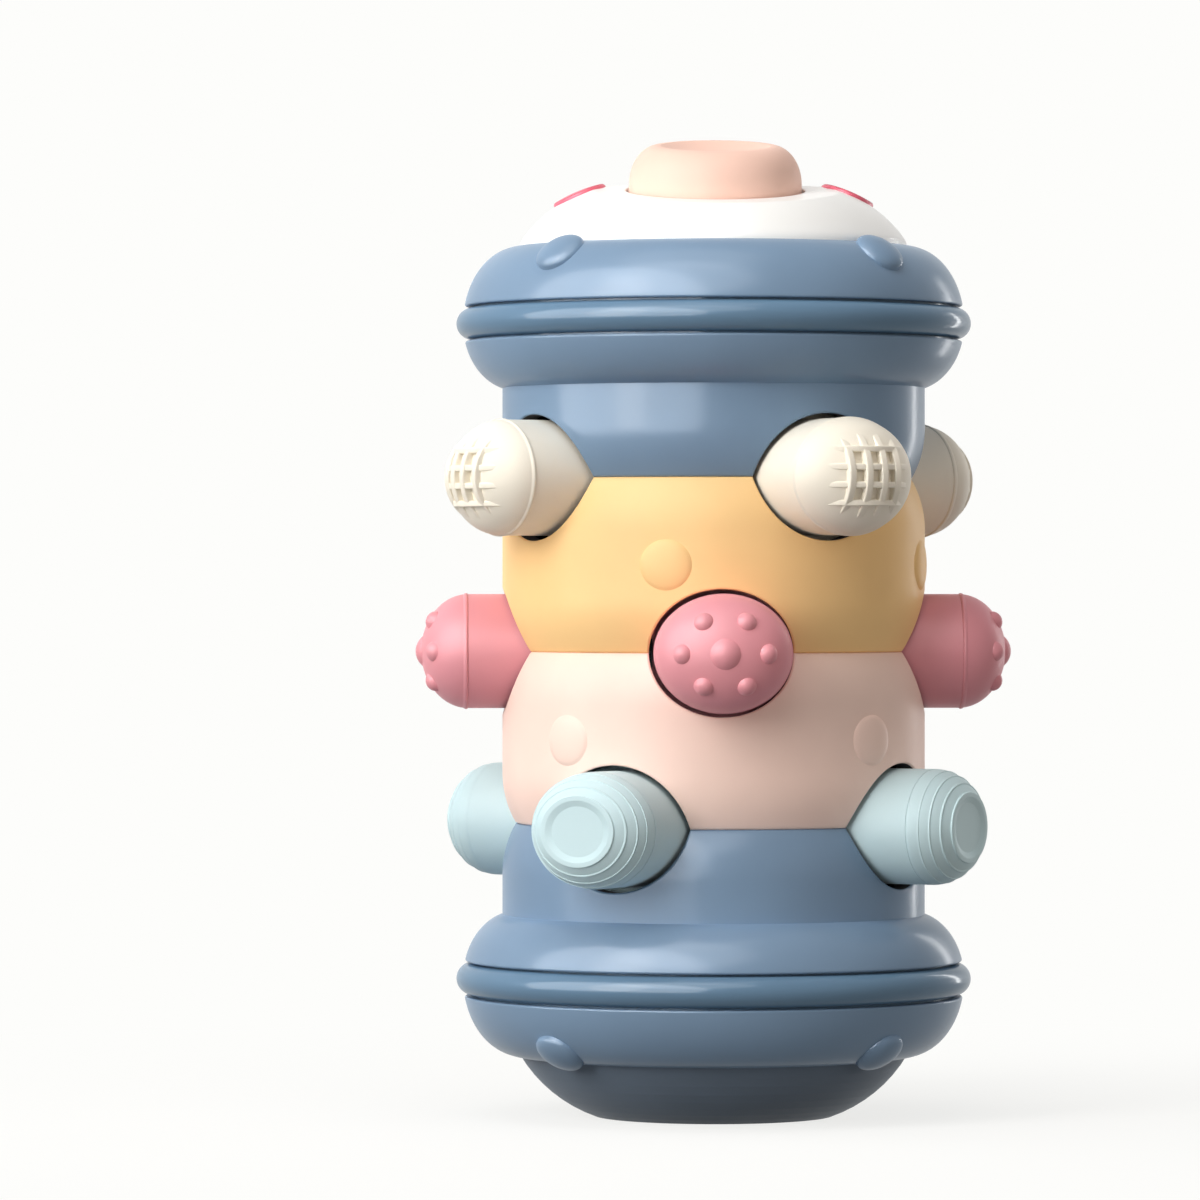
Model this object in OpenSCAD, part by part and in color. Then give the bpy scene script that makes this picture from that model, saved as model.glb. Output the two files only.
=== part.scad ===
// Upright sensory roller for babies: a drum of four moulded bands between two bumper collars,
// twelve sprung oval pegs in three rows, a domed cover with a press button, and a flat foot.
// The axis of the drum is Z, the base stands on z = 0, and the front of the toy faces -Y.

/* [Drum] */
// Largest radius of the four bands
body_r = 45; // [42:0.5:48]
// Height of a coloured band, which is also the distance between the rows of pegs
row_pitch = 36.6; // [36:0.2:40]
// How far a band rounds in where it meets the next one
seam_dip = 2.9; // [1.5:0.1:3.5]
// Height of the rounded edge of a band
edge_h = 10.7; // [8:0.1:12]
// Thickness of a band at the seam
wall = 2.6; // [2:0.1:3]
// Thickness of the locating lip inside each seam
lip_t = 1.4; // [1:0.1:1.8]
// How far the lip reaches into the next band
lip_h = 2.2; // [1.5:0.1:3]

/* [Collars] */
// Largest radius of the collars
collar_r = 53.4; // [52.5:0.1:55]
// Distance from the middle seam to the middle of a bumper ring
ring_offset = 69.7; // [69:0.1:74]
// Height of the collar from the bumper ring to its outer rim
collar_rise = 16.3; // [15.8:0.1:18]
// Height of the collar from the bumper ring to its waist on the drum
collar_drop = 14.2; // [13:0.1:16]
// Radius of the bumper rings
ring_r = 54.8; // [54.3:0.1:57]
// Height of the bead of a bumper ring
ring_h = 6.6; // [5.5:0.1:7]
// Shadow gap on either side of the bead
ring_gap = 0.4; // [0.3:0.05:0.6]
// Radius of the round opening at the outer rim of a collar
rim_r = 41.4; // [40:0.1:42]

/* [Round bumps] */
// Radius of a bump on the bands
band_bump_r = 5.6; // [4:0.1:6.5]
// Height of a bump on the bands
band_bump_h = 1; // [0.6:0.1:1.4]
// Radius of a bump on the collars
collar_bump_r = 5.4; // [4:0.1:6]
// Height of a bump on the collars
collar_bump_h = 1.8; // [1:0.1:2.2]
// Place of the bumps on the collar, as an angle up its rounded shoulder
collar_bump_at = 60; // [54:1:60]

/* [Pegs] */
// Width of a peg around the drum
peg_w = 28.1; // [26:0.1:29]
// Height of a peg along the drum
peg_h = 24.3; // [22:0.1:25]
// Gap between a peg and its hole
peg_gap = 1.1; // [0.6:0.1:1.2]
// How far the tip of a peg stands out from the band
peg_reach = 17.3; // [15:0.1:18.5]
// Depth of the domed cap of a peg
peg_dome = 10; // [8:0.1:11]
// How far a peg can be pressed in
peg_travel = 12; // [8:0.5:12.5]
// Wall of the sleeve of a peg
sleeve_wall = 1.8; // [1.5:0.1:2.2]
// Width of the flange that holds a peg in, on each side
flange_lip = 2.9; // [2.4:0.1:3.2]
// Thickness of that flange
flange_t = 2; // [1.6:0.1:2.4]
// Turn from one row of pegs to the next
row_turn = 30; // [26:1:34]

/* [Peg relief] */
// Height of the ridges and bumps on the caps
relief_h = 1.2; // [0.9:0.1:1.3]
// Distance between two ridges of the lattice caps
lattice_pitch = 3.7; // [3.4:0.1:4]
// Width of a ridge of the lattice caps
lattice_w = 1.3; // [1:0.1:1.6]
// Radius of the middle bump of the dotted caps
dot_mid_r = 2.9; // [2.6:0.1:3.4]
// Radius of the other bumps of the dotted caps
dot_r = 2; // [1.8:0.1:2.4]
// Half the width of the oval on which the other bumps lie
dot_ring = 9; // [8.4:0.1:9.4]
// Edge of the dished disc of the ringed caps, as an angle on their dome
disc_edge = 38; // [34:1:42]
// Angle on the dome from one ring of the ringed caps to the next
ring_step = 12.6; // [11:0.2:14]
// Height of the steps of the ringed caps
ring_rise = 0.4; // [0.3:0.05:0.6]

/* [Springs] */
// Radius of a peg spring, to the middle of its wire
peg_coil_r = 4.4; // [4:0.1:5]
// Wire of a peg spring
peg_wire = 1; // [0.8:0.1:1.2]
// Turns of a peg spring
peg_turns = 5; // [4:1:6]
// Radius of the button spring, to the middle of its wire
button_coil_r = 10.2; // [9.8:0.1:11]
// Wire of the button spring
button_wire = 1.2; // [1:0.1:1.4]
// Turns of the button spring
button_turns = 4; // [3:1:5]

/* [Dome and button] */
// Radius of the sphere of the domed cover
dome_r = 62.4; // [61:0.1:65]
// Radius of the rounded shoulder of the domed cover
shoulder_r = 30; // [28:0.5:31]
// Radius of the circle round the axis on which that shoulder is rounded
shoulder_at = 18.5; // [17.5:0.1:19]
// Height of the foot of the shoulder above the rim of the collar
shoulder_rise = 2.3; // [1.8:0.1:2.5]
// Thickness of the domed cover
dome_t = 2.8; // [2.4:0.1:3]
// How far the button leans to the front from the axis of the drum
lean = 9; // [6:0.5:11]
// Radius of the button
button_r = 18.3; // [17:0.1:18.6]
// Height of the button above the dome
button_h = 9.4; // [8:0.1:10.5]
// Radius of the dish in the button
dish_r = 11.6; // [10.5:0.1:12.5]
// Depth of the dish in the button
dish_depth = 2.2; // [1.5:0.1:2.4]
// Gap round the button
button_gap = 0.7; // [0.5:0.1:0.9]
// How far the button can be pressed
button_travel = 4; // [3:0.1:4.5]
// Width of a side pad of the dome, around the dome
pad_w = 19; // [16:0.5:22]
// Height of a side pad of the dome, along its slope
pad_h = 12.5; // [11:0.5:13]
// How far a side pad stands out from the dome
pad_proud = 0.7; // [0.4:0.1:1]
// Angle of the middle of a side pad from the axis of the drum
pad_at = 26.5; // [26.5:0.5:28]

/* [Foot] */
// Height of the foot below the lower collar
foot_h = 12.9; // [11:0.1:14]
// Radius of the flat base
base_r = 25.5; // [24:0.1:27]
// Radius of the rounding from the base to the collar
foot_round = 30; // [27:0.5:40]
// Thickness of the foot
foot_t = 2.8; // [2.4:0.1:3.2]

/* [Core and screws] */
// Radius of the hollow post in the middle of the drum
post_r = 9; // [8:0.1:9.5]
// Thickness of the post
post_t = 2.4; // [2:0.1:3]
// Thickness of the two plates that the post holds apart
plate_t = 3; // [2.6:0.1:3.6]
// Radius of the circle of the screws in the base
base_screw_at = 15; // [14.5:0.1:16]
// Radius of the circle of the screws under the dome
crown_screw_at = 33; // [32.6:0.1:33.2]
// Radius of the thread of a screw
screw_r = 1.5; // [1.4:0.05:1.6]
// Radius of the head of a screw
head_r = 2.9; // [2.6:0.1:3]
// Height of the head of a screw
head_h = 2; // [1.8:0.1:2.2]

/* [Hidden] */
ROWS = ["mint", "pink", "cream"];
PIECES = ["sleeve", "cap", "spring"];
PEGS_IN_ROW = 4;
QUARTER = 90;
SHELLS = [
    "foot_cap", "lower_collar", "lower_bumper_ring", "lower_drum", "peach_band", "yellow_band",
    "upper_drum", "upper_bumper_ring", "upper_collar", "dome_cover"
];
INSIDE = ["core_post", "crown_plate", "base_screws", "crown_screws"];
TOP = ["dome_pad_left", "dome_pad_right", "button_cap", "button_spring"];
PEG_NODES = [for (row = ROWS) for (i = [1:PEGS_IN_ROW]) for (piece = PIECES) peg_name(row, i, piece)];

$fn = 96;
FINE = 240;
ARC_STEPS = 8;
COIL_SIDES = 5;
COIL_STEPS_PER_TURN = 9;
END_TURN_SHARE = 0.7;

// Clearances between pieces that move, and between pieces that are fitted together
run_gap = 0.3;
fit_gap = 0.15;
overcut = 1;

// Heights along the axis of the drum, from the base
mid_z = foot_h + collar_rise + ring_offset;
rim_z = mid_z + ring_offset + collar_rise;

// Radii of the drum
seam_r = body_r - seam_dip;
inner_r = seam_r - wall;
edge_round = (seam_dip * seam_dip + edge_h * edge_h) / (2 * seam_dip);
edge_turn = asin(edge_h / edge_round);

// Collars, measured from the middle of the bumper ring
ring_seat = ring_h / 2 + ring_gap;
clamp_w = 6.4;
bead_w = 4.2;
waist_in = 3;
tongue_in = collar_r - clamp_w;
tongue_out = ring_r - bead_w;
waist_r = body_r - waist_in;
bump_sink = 1.6;
ledge_w = 3;
ledge_t = 2.2;
ledge_drop = 3.6;
ledge_z = collar_rise - ledge_drop;

// Pegs, measured from the axis of the drum
tip_x = body_r + peg_reach;
joint_x = tip_x - peg_dome;
flange_w = peg_w / 2 + flange_lip;
flange_h = peg_h / 2 + flange_lip - 0.4;
flange_x = sqrt(inner_r * inner_r - flange_w * flange_w) - run_gap;
web_t = 2;
plug_l = 4;
web_x = joint_x - plug_l - web_t;
seat_x = post_r + 1;
seat_r = peg_coil_r + peg_wire / 2 + 0.4;
peg_pin_r = peg_coil_r - peg_wire / 2 - fit_gap;
peg_pin_l = 2.5;
upright_rib_r = 0.9 * peg_h / 2;
level_rib_r = peg_w / 2;
end_rib = 0.87;
rib_step = 0.2;
disc_rim = 1.2;
disc_slope = 1.4;
disc_sink = 0.7;

// Dome and button, measured from the middle of the sphere of the dome
dome_rim_r = rim_r - fit_gap;
dome_z = rim_z + 0.5 - sqrt(dome_r * dome_r - dome_rim_r * dome_rim_r);
shoulder_z = rim_z + shoulder_rise - sqrt(pow(shoulder_r, 2) - pow(dome_rim_r - shoulder_at, 2));
land_r = button_r + 2.6;
land = sqrt(dome_r * dome_r - land_r * land_r);
stop_face = land - 2.6;
flange_r = button_r + 2.3;
pocket_r = flange_r + 1;
button_wall = 2.4;
button_top = land + button_h;
button_roof = button_top - dish_depth - 1.7;
button_shoulder = button_h - 1.2;
stem_r = button_coil_r - button_wire / 2 - 1.4;
stem_bore = stem_r - 1.8;
guide_r = stem_bore - run_gap;
guide_top = button_roof - button_travel - 1.5;
pad_depth = 1.2;

// Plates, bosses and screws inside
crown_z = mid_z + ring_offset + 2;
plate_r = crown_screw_at + head_r + 1.6;
coil_seat = (crown_z + plate_t - dome_z) / cos(lean) + 5.5;
coil_seat_r = button_coil_r + button_wire / 2 + 1.2;
stem_end = coil_seat + button_travel + 1.8;
boss_l = 6;
base_plate_z = foot_t + boss_l;
plate_edge = 5;
base_plate_r = base_screw_at + plate_edge;
boss_r = head_r + 0.9;
thread_l = 9;
pilot_r = screw_r + fit_gap;
hole_r = screw_r + run_gap;
head_floor = 1;
drive_l = 1.2 * head_r;
drive_w = 0.3 * head_r;
drive_depth = 1.1;

blue = [0.55, 0.64, 0.74];
ring_blue = [0.50, 0.62, 0.74];
yellow = [0.95, 0.80, 0.52];
peach = [0.93, 0.82, 0.76];
rose = [0.89, 0.42, 0.49];
slate = [0.43, 0.49, 0.55];
steel = [0.75, 0.76, 0.78];
inner_white = [0.88, 0.88, 0.87];
PEG_COLOURS = [[0.74, 0.86, 0.87], [0.89, 0.59, 0.63], [0.92, 0.88, 0.82]];

function peg_name(row, i, piece) = str(row, "_peg_", i, "_", piece);
function row_z(row) = mid_z + (row - 1) * row_pitch;
// The front of the toy faces -Y, and the rows turn step by step towards +X
function peg_turn(row, i) = (row - 1) * row_turn + i * QUARTER - QUARTER;
// Radius of the ball of which a cap of radius r and height h is cut
function cap_ball(r, h) = (r * r + h * h) / (2 * h);
function arc(middle, rx, ry, from, to) =
    [for (i = [0:ARC_STEPS]) let (a = from + (to - from) * i / ARC_STEPS) middle + [rx * cos(a), ry * sin(a)]];

// Places for what repeats
module at_peg(row, i) {
    rotate([0, 0, peg_turn(row, i)]) translate([0, 0, row_z(row)]) children();
}

module on_dome() {
    translate([0, 0, dome_z]) children();
}

module on_lean() {
    on_dome() rotate([lean, 0, 0]) children();
}

// Upper pieces are drawn from the middle seam up, and lower ones are their mirror image
module from_middle(upper) {
    translate([0, 0, mid_z]) mirror([0, 0, upper ? 0 : 1]) children();
}

module around(count, first) {
    for (i = [0:count - 1]) rotate([0, 0, first + i * 360 / count]) children();
}

// An oval bar along X, for the pegs and their holes
module oval_bar(half_w, half_h, from, to) {
    translate([from, 0, 0]) rotate([0, 90, 0])
        scale([half_h / half_w, 1, 1]) cylinder(r = half_w, h = to - from);
}

module row_holes(row) {
    for (i = [0:PEGS_IN_ROW - 1])
        at_peg(row, i) oval_bar(peg_w / 2 + peg_gap, peg_h / 2 + peg_gap, seat_x, tip_x);
}

module row_pockets(row) {
    for (i = [0:PEGS_IN_ROW - 1])
        at_peg(row, i) oval_bar(flange_w + 4 * run_gap, flange_h + 4 * run_gap, seat_x, body_r);
}

// A low round bump that stands up from a surface along X, sunk by the same depth as its height and more
module bump(r, h, sink) {
    ball = cap_ball(r, h);
    intersection() {
        translate([h - ball, 0, 0]) sphere(r = ball);
        translate([-sink, 0, 0]) rotate([0, 90, 0]) cylinder(r = r, h = sink + h);
    }
}

// Rounded edge of a band at a seam, from the seam to the full radius, going up
function edge_up(z) =
    arc([body_r - edge_round, z + edge_h], edge_round, edge_round, -edge_turn, 0);
function edge_down(z) =
    arc([body_r - edge_round, z - edge_h], edge_round, edge_round, 0, edge_turn);

// Lip inside the edge of a band at z, which reaches into the next band
module seam_lip(row, z) {
    difference() {
        translate([0, 0, mid_z]) rotate_extrude() polygon([
            [inner_r + wall / 4, z - 4 * lip_t],
            [inner_r - fit_gap, z - 4 * lip_t],
            [inner_r - lip_t, z - 3 * lip_t],
            [inner_r - lip_t, z + lip_h],
            [inner_r - fit_gap, z + lip_h],
            [inner_r - fit_gap, z - lip_t],
            [inner_r + wall / 4, z - lip_t]
        ]);
        row_pockets(row);
    }
}

// Turned band with its ring of round bumps, before the holes are cut
module band(low, first_bump) {
    ball = cap_ball(band_bump_r, band_bump_h);
    translate([0, 0, mid_z + low]) difference() {
        union() {
            rotate_extrude() polygon(concat(
                edge_up(0), edge_down(row_pitch), [[0, row_pitch], [0, 0]]));
            around(PEGS_IN_ROW, first_bump - QUARTER)
                translate([body_r + band_bump_h - ball, 0, row_pitch / 2]) sphere(r = ball);
        }
        translate([0, 0, -overcut]) cylinder(r = inner_r, h = row_pitch + 2 * overcut);
    }
}

module peach_band() {
    color(peach) {
        difference() {
            band(-row_pitch, QUARTER / 2);
            row_holes(0);
            row_holes(1);
        }
        seam_lip(1, 0);
    }
}

module yellow_band() {
    color(yellow) {
        difference() {
            band(0, -row_turn / 2);
            row_holes(1);
            row_holes(2);
        }
        seam_lip(2, row_pitch);
    }
}

// Blue band with the half of the collar that flares out of it
module drum_end(upper) {
    flare = collar_r - waist_r;
    start = -acos((body_r - waist_r) / flare);
    end = -asin(ring_seat / collar_drop);
    top = ring_offset - ring_seat;
    from_middle(upper) rotate_extrude() polygon(concat(
        edge_up(row_pitch),
        arc([waist_r, ring_offset], flare, collar_drop, start, end),
        [[tongue_in, top], [inner_r, top - tongue_in + inner_r], [inner_r, row_pitch]]));
}

module lower_drum() {
    color(blue) {
        difference() {
            drum_end(false);
            row_holes(0);
        }
        seam_lip(0, -row_pitch);
    }
}

module upper_drum() {
    color(blue) difference() {
        drum_end(true);
        row_holes(2);
    }
}

// Bead with a tongue that the two halves of the collar clamp
module bumper_ring(upper) {
    bead = ring_h / 2;
    from_middle(upper) translate([0, 0, ring_offset]) rotate_extrude() polygon(concat(
        [[tongue_in, -ring_seat], [tongue_out, -ring_seat], [tongue_out, -bead]],
        arc([ring_r - bead, 0], bead, bead, -90, 90),
        [[tongue_out, bead], [tongue_out, ring_seat], [tongue_in, ring_seat]]));
}

module lower_bumper_ring() {
    color(ring_blue) bumper_ring(false);
}

module upper_bumper_ring() {
    color(ring_blue) bumper_ring(true);
}

// Outer half of a collar, with the ledge on which the dome or the foot stands
module collar(upper) {
    bulge = collar_r - rim_r;
    start = asin(ring_seat / collar_rise);
    shoulder = [rim_r + bulge * cos(collar_bump_at), 0, collar_rise * sin(collar_bump_at)];
    slope = atan2(sin(collar_bump_at) / collar_rise, cos(collar_bump_at) / bulge);
    from_middle(upper) translate([0, 0, ring_offset]) {
        rotate_extrude() polygon(concat(
            [[tongue_in, ring_seat]],
            arc([rim_r, 0], bulge, collar_rise, start, 90),
            [
                [rim_r, ledge_z],
                [rim_r - ledge_w, ledge_z],
                [rim_r - ledge_w, ledge_z - ledge_t],
                [tongue_in, ring_seat + ledge_t]
            ]));
        around(PEGS_IN_ROW, QUARTER / 2)
            translate(shoulder) rotate([0, -slope, 0]) bump(collar_bump_r, collar_bump_h, bump_sink);
    }
}

module lower_collar() {
    color(blue) collar(false);
}

module upper_collar() {
    color(blue) collar(true);
}

// Foot: a shallow bowl with a flat base, a skirt inside the lower collar and four screw bosses
module foot_cap() {
    skirt_top = foot_h + ledge_drop;
    chord = [dome_rim_r - base_r, foot_h];
    half = norm(chord) / 2;
    across = [-chord[1], chord[0]] / norm(chord);
    middle = [base_r, 0] + chord / 2 + across * sqrt(foot_round * foot_round - half * half);
    low = atan2(-middle[1], base_r - middle[0]);
    high = atan2(foot_h - middle[1], dome_rim_r - middle[0]);
    skirt_in = dome_rim_r - foot_t;
    color(slate) difference() {
        union() {
            rotate_extrude() polygon(concat(
                [[0, 0]],
                arc(middle, foot_round, foot_round, low, high),
                [[dome_rim_r, skirt_top], [skirt_in, skirt_top], [skirt_in, foot_h]],
                [[base_r, foot_t], [0, foot_t]]));
            around(PEGS_IN_ROW, QUARTER / 2)
                translate([base_screw_at, 0, head_floor]) cylinder(r = boss_r, h = base_plate_z - head_floor);
        }
        around(PEGS_IN_ROW, QUARTER / 2) translate([base_screw_at, 0, -overcut]) {
            cylinder(r = hole_r, h = base_plate_z + 2 * overcut);
            cylinder(r = head_r + run_gap, h = overcut + head_floor + head_h);
        }
    }
}

// One screw with its head down, from the underside of the head up
module screw(l) {
    difference() {
        union() {
            cylinder(r = head_r, h = head_h);
            cylinder(r = screw_r, h = head_h + l);
        }
        for (turn = [0, QUARTER]) rotate([0, 0, turn])
            translate([-drive_l / 2, -drive_w / 2, -overcut]) cube([drive_l, drive_w, drive_depth + overcut]);
    }
}

module base_screws() {
    grip = base_plate_z - head_floor - head_h;
    color(steel) around(PEGS_IN_ROW, QUARTER / 2)
        translate([base_screw_at, 0, head_floor]) screw(grip + thread_l);
}

module crown_screws() {
    color(steel) around(PEGS_IN_ROW, QUARTER / 2)
        translate([crown_screw_at, 0, crown_z - head_h]) screw(plate_t + thread_l);
}

// Hollow post that holds the foot and the dome together and carries the seats of the peg springs
module core_post() {
    bore = post_r - post_t;
    color(inner_white) difference() {
        union() {
            translate([0, 0, base_plate_z]) cylinder(r = post_r, h = crown_z - base_plate_z);
            translate([0, 0, base_plate_z]) cylinder(r = base_plate_r, h = plate_t);
            around(PEGS_IN_ROW, QUARTER / 2)
                translate([base_screw_at, 0, base_plate_z]) cylinder(r = boss_r, h = thread_l + 1);
            for (row = [0:len(ROWS) - 1]) for (i = [0:PEGS_IN_ROW - 1]) at_peg(row, i) {
                oval_bar(seat_r, seat_r, bore + post_t / 2, seat_x);
                oval_bar(peg_pin_r, peg_pin_r, bore + post_t / 2, seat_x + peg_pin_l);
            }
        }
        translate([0, 0, base_plate_z - overcut]) cylinder(r = bore, h = crown_z);
        around(PEGS_IN_ROW, QUARTER / 2)
            translate([base_screw_at, 0, base_plate_z - overcut]) cylinder(r = pilot_r, h = thread_l + overcut + 0.5);
    }
}

// Plate under the dome with the leaning guide of the button
module crown_plate() {
    color(inner_white) difference() {
        union() {
            translate([0, 0, crown_z]) cylinder(r = plate_r, h = plate_t);
            translate([0, 0, crown_z - 4 * plate_t])
                cylinder(r = post_r - post_t - fit_gap, h = 4 * plate_t + overcut);
            intersection() {
                on_lean() {
                    cylinder(r = coil_seat_r, h = coil_seat);
                    cylinder(r = guide_r, h = guide_top);
                }
                translate([0, 0, crown_z]) cylinder(r = plate_r, h = dome_r);
            }
        }
        around(PEGS_IN_ROW, QUARTER / 2)
            translate([crown_screw_at, 0, crown_z - overcut]) cylinder(r = hole_r, h = plate_t + 2 * overcut);
    }
}

// Cuts that the button needs in the dome, along its own leaning axis
module button_cuts() {
    translate([0, 0, land]) cylinder(r = dome_r, h = dome_r);
    cylinder(r = button_r + button_gap, h = dome_r);
    cylinder(r = pocket_r, h = stop_face);
}

// An oval bar along the middle of a side pad
module pad_bar(side, grow) {
    rotate([0, side * pad_at, 0]) scale([pad_h / pad_w, 1, 1])
        cylinder(r = pad_w / 2 + grow, h = 2 * dome_r);
}

// A ball with a fuller, rounded shoulder that shows between the collar and the button
module dome_form(grow) {
    round = shoulder_r + grow;
    on_dome() sphere(r = dome_r + grow);
    translate([0, 0, shoulder_z]) rotate_extrude()
        polygon(concat([[0, 0]], arc([shoulder_at, 0], round, round, 0, 90), [[0, round]]));
}

module dome_cover() {
    foot_of_skirt = mid_z + ring_offset + ledge_z;
    skirt_in = dome_rim_r - dome_t;
    boss_foot = crown_z + plate_t;
    color("white") difference() {
        union() {
            difference() {
                intersection() {
                    dome_form(0);
                    translate([0, 0, foot_of_skirt]) cylinder(r = dome_rim_r, h = dome_r);
                }
                intersection() {
                    on_dome() sphere(r = dome_r - dome_t);
                    translate([0, 0, foot_of_skirt - overcut]) cylinder(r = skirt_in, h = dome_r);
                }
            }
            intersection() {
                on_dome() sphere(r = dome_r - dome_t / 2);
                around(PEGS_IN_ROW, QUARTER / 2)
                    translate([crown_screw_at, 0, boss_foot]) cylinder(r = boss_r, h = dome_r);
            }
        }
        on_lean() button_cuts();
        around(PEGS_IN_ROW, QUARTER / 2)
            translate([crown_screw_at, 0, boss_foot - overcut]) cylinder(r = pilot_r, h = thread_l + overcut + 0.5);
        for (side = [-1, 1]) difference() {
            on_dome() pad_bar(side, fit_gap);
            dome_form(-pad_depth);
        }
    }
}

module dome_pad(side) {
    color(rose) difference() {
        intersection() {
            dome_form(pad_proud, $fn = FINE);
            on_dome() pad_bar(side, 0);
        }
        dome_form(-pad_depth, $fn = FINE);
    }
}

module dome_pad_left() {
    dome_pad(-1);
}

module dome_pad_right() {
    dome_pad(1);
}

// Hollow button with a dished top, a flange under the dome and a stem on the guide
module button_cap() {
    flange_top = stop_face - run_gap;
    flange_low = flange_top - 1.8;
    dish_ball = cap_ball(dish_r, dish_depth);
    shoulder_w = button_r - dish_r - 0.6;
    color([0.93, 0.80, 0.74]) on_lean() difference() {
        rotate_extrude() polygon(concat(
            [[0, flange_low], [flange_r, flange_low], [flange_r, flange_top], [button_r, flange_top]],
            arc([button_r - shoulder_w, button_top - button_shoulder], shoulder_w, button_shoulder, 0, 90),
            [[0, button_top]]));
        translate([0, 0, button_top - dish_depth + dish_ball]) sphere(r = dish_ball);
        difference() {
            translate([0, 0, flange_low - overcut])
                cylinder(r = button_r - button_wall, h = button_roof - flange_low + overcut);
            cylinder(r = stem_r, h = button_top);
        }
        translate([0, 0, flange_low - overcut]) cylinder(r = stem_bore, h = button_roof - flange_low + overcut);
    }
    color([0.93, 0.80, 0.74]) on_lean() difference() {
        translate([0, 0, stem_end]) cylinder(r = stem_r, h = flange_low - stem_end + overcut);
        translate([0, 0, stem_end - overcut]) cylinder(r = stem_bore, h = dome_r);
    }
}

// Round wire wound along X, with flatter turns at both ends
module coil(coil_r, wire, turns, from, to) {
    steps = turns * COIL_STEPS_PER_TURN;
    low = from + wire / 2;
    length = to - from - wire;
    rings = [
        for (i = [0:steps])
            let (
                u = i / steps,
                a = 360 * turns * u,
                x = low + length * (u - END_TURN_SHARE * sin(360 * u) / (2 * PI))
            )
            for (k = [0:COIL_SIDES - 1])
                let (b = 360 * k / COIL_SIDES, r = coil_r + wire / 2 * cos(b))
                [x + wire / 2 * sin(b), r * cos(a), r * sin(a)]
    ];
    skin = [
        for (i = [0:steps - 1]) for (k = [0:COIL_SIDES - 1])
            let (n = (k + 1) % COIL_SIDES, p = i * COIL_SIDES, q = p + COIL_SIDES)
            each [[p + k, p + n, q + n], [p + k, q + n, q + k]]
    ];
    first_end = [for (k = [1:COIL_SIDES - 2]) [0, k + 1, k]];
    last = steps * COIL_SIDES;
    last_end = [for (k = [1:COIL_SIDES - 2]) [last, last + k, last + k + 1]];
    polyhedron(rings, concat(skin, first_end, last_end));
}

module button_spring() {
    color(steel) on_lean() rotate([0, -90, 0])
        coil(button_coil_r, button_wire, button_turns, coil_seat, button_roof);
}

module peg_spring(row, i) {
    color(steel) at_peg(row, i) coil(peg_coil_r, peg_wire, peg_turns, seat_x, web_x);
}

// Oval tube with a flange inside the drum, a web for the spring and a socket for the cap
module peg_sleeve(row, i) {
    bore_w = peg_w / 2 - sleeve_wall;
    bore_h = peg_h / 2 - sleeve_wall;
    color(PEG_COLOURS[row]) at_peg(row, i) {
        difference() {
            union() {
                oval_bar(peg_w / 2, peg_h / 2, flange_x - flange_t, joint_x);
                oval_bar(flange_w, flange_h, flange_x - flange_t, flange_x);
            }
            oval_bar(bore_w, bore_h, flange_x - flange_t - overcut, web_x);
            oval_bar(bore_w, bore_h, web_x + web_t, joint_x + overcut);
        }
        oval_bar(peg_pin_r, peg_pin_r, web_x - peg_pin_l, web_x);
    }
}

// Oval ball whose outer half is the dome of a cap
module peg_ball() {
    translate([joint_x, 0, 0]) scale([peg_dome, peg_w / 2, peg_h / 2]) sphere(r = 1);
}

// How far the ball stands out at a place on it, given sideways and up
function ball_x(y, z) =
    joint_x + peg_dome * sqrt(1 - pow(2 * y / peg_w, 2) - pow(2 * z / peg_h, 2));

// Raised lattice of upright and level ribs, each a thin disc that runs out under the oval ball
module lattice_relief() {
    ribs = 4;
    first = -(ribs - 1) / 2 * lattice_pitch;
    for (i = [0:ribs - 1]) {
        place = first + i * lattice_pitch;
        share = i == 0 || i == ribs - 1 ? end_rib : 1;
        upright_r = share * upright_rib_r;
        level_r = share * level_rib_r;
        translate([ball_x(place, 0) + relief_h - upright_r, place + lattice_w / 2, 0])
            rotate([90, 0, 0]) cylinder(r = upright_r, h = lattice_w);
        translate([ball_x(0, place) + relief_h - rib_step - level_r, 0, place - lattice_w / 2])
            cylinder(r = level_r, h = lattice_w);
    }
}

// A round bump on the oval ball, square to its surface
module dot(y, z, r) {
    ball = cap_ball(r, relief_h);
    x = ball_x(y, z);
    out = [(x - joint_x) / pow(peg_dome, 2), 4 * y / pow(peg_w, 2), 4 * z / pow(peg_h, 2)];
    translate([x, y, z] + out / norm(out) * (relief_h - ball)) sphere(r = ball);
}

module dot_relief() {
    dots = 6;
    squeeze = peg_h / peg_w;
    dot(0, 0, dot_mid_r);
    for (i = [0:dots - 1])
        dot(dot_ring * cos(i * 360 / dots), dot_ring * sin(i * 360 / dots) * squeeze, dot_r);
}

// What is turned about the axis of a peg and then squeezed to its oval
module squeezed() {
    translate([joint_x, 0, 0]) scale([1, 1, peg_h / peg_w]) rotate([0, 90, 0]) children();
}

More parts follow.
